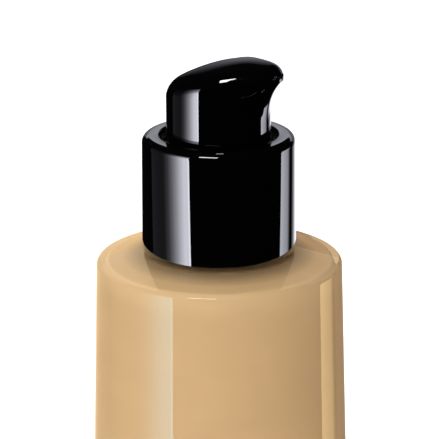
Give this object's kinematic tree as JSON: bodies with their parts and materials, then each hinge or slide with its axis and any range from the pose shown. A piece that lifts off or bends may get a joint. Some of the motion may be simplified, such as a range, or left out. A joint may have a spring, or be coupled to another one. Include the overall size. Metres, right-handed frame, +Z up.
{
  "type": "foundation bottle",
  "caption": "Round heavy-based glass bottle of liquid foundation with a screw-on treatment pump and a swivelling press-down head.",
  "frame": {"origin": "middle of the base, on the surface the bottle stands on", "axes": "+Z up along the bottle's axis, +X the way the nozzle points, +Y to the left of the nozzle"},
  "size_m": [0.0388, 0.0388, 0.0895],
  "materials": {
    "clear_glass": "polished clear flint glass",
    "liquid_foundation": "opaque beige liquid, smooth",
    "blank_label": "matt film, blank",
    "sealing_rubber": "smooth",
    "natural_plastic": "moulded natural polypropylene",
    "spring_steel": "bright",
    "gloss_black": "high-gloss moulded"
  },
  "bodies": {
    "bottle": {"glass_bottle": "clear_glass", "foundation_fill": "liquid_foundation", "base_label": "blank_label"},
    "pump": {"pump_housing": "natural_plastic", "dip_tube": "natural_plastic", "ball_cage": "natural_plastic", "neck_gasket": "sealing_rubber", "stem_gasket": "sealing_rubber", "stem_guide": "natural_plastic", "return_spring": "spring_steel"},
    "closure": {"screw_closure": "natural_plastic", "collar_shroud": "gloss_black"},
    "plunger": {"stem": "natural_plastic", "poppet_rod": "natural_plastic"},
    "piston": {"piston": "natural_plastic"},
    "inlet_valve": {"inlet_ball": "spring_steel"},
    "actuator": {"actuator_shell": "gloss_black", "actuator_core": "natural_plastic", "nozzle_tube": "natural_plastic"}
  },
  "joints": [
    {"name": "pump_rise", "type": "slide", "parent": "bottle", "child": "pump", "axis": [0, 0, 1], "range_m": [0, 0.00333]},
    {"name": "closure_turn", "type": "hinge", "parent": "pump", "child": "closure", "pos_m": [0, 0, 0.0683], "axis": [0, 0, 1], "range_deg": [0, 400]},
    {"name": "pump_press", "type": "slide", "parent": "pump", "child": "plunger", "axis": [0, 0, -1], "range_m": [0, 0.0036], "stiffness_N_per_m": 800, "springref_m": -0.004, "deforming": ["return_spring"]},
    {"name": "head_swivel", "type": "hinge", "parent": "plunger", "child": "actuator", "pos_m": [0, 0, 0.0796], "axis": [0, 0, 1], "continuous": true},
    {"name": "piston_valve", "type": "slide", "parent": "plunger", "child": "piston", "axis": [0, 0, 1], "range_m": [0, 0.0006]},
    {"name": "inlet_ball_lift", "type": "slide", "parent": "pump", "child": "inlet_valve", "axis": [0, 0, 1], "range_m": [0, 0.0006]}
  ],
  "couplings": [
    {"joint": "closure_turn", "follows": "pump_rise", "rad_per_m": 2094.4}
  ]
}
